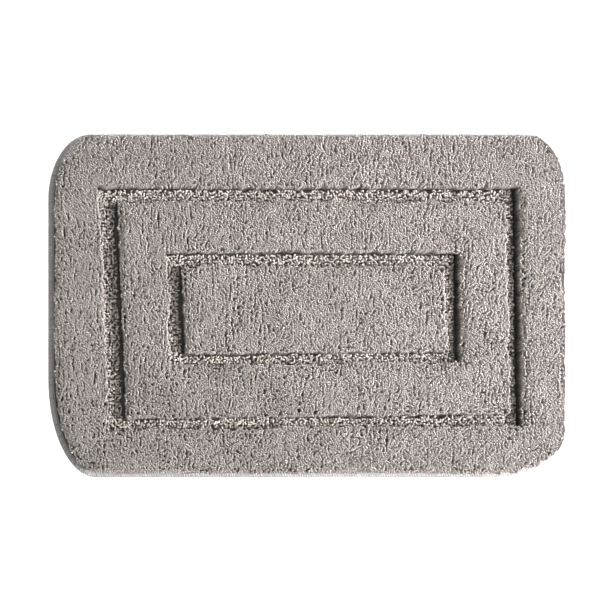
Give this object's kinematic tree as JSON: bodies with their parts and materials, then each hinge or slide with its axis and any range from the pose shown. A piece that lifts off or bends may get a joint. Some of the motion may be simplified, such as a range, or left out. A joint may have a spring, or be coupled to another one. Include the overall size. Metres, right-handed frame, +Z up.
{
  "type": "bath mat",
  "caption": "Rectangular tufted bath mat with rounded corners, high cut pile, nested rectangular channels of low loops, an overlocked edge and a grip backing.",
  "frame": {"origin": "on the floor, under the middle of the mat's outline", "axes": "+X along the mat's length, +Y across its width, +Z up out of the pile"},
  "size_m": [0.6, 0.4, 0.0239],
  "materials": {
    "cut_pile_yarn": "soft matt microfibre tufts, warm grey",
    "loop_yarn": "twisted uncut microfibre loops, warm grey",
    "seam_thread": "satin textured overlock thread, grey",
    "backing_cloth": "plain weave, pale beige",
    "latex": "dried satin latex, cream",
    "grip_rubber": "soft matt rubber with small raised dots, pale grey"
  },
  "bodies": {
    "root": {"grip_backing": "grip_rubber", "latex_precoat": "latex", "primary_backing_cloth": "backing_cloth", "overlock_lower_looper": "seam_thread", "overlock_upper_looper": "seam_thread", "overlock_needle_thread": "seam_thread", "border_pile": "cut_pile_yarn", "middle_band_pile": "cut_pile_yarn", "centre_panel_pile": "cut_pile_yarn", "outer_channel_loops": "loop_yarn", "inner_channel_loops": "loop_yarn"}
  },
  "joints": []
}
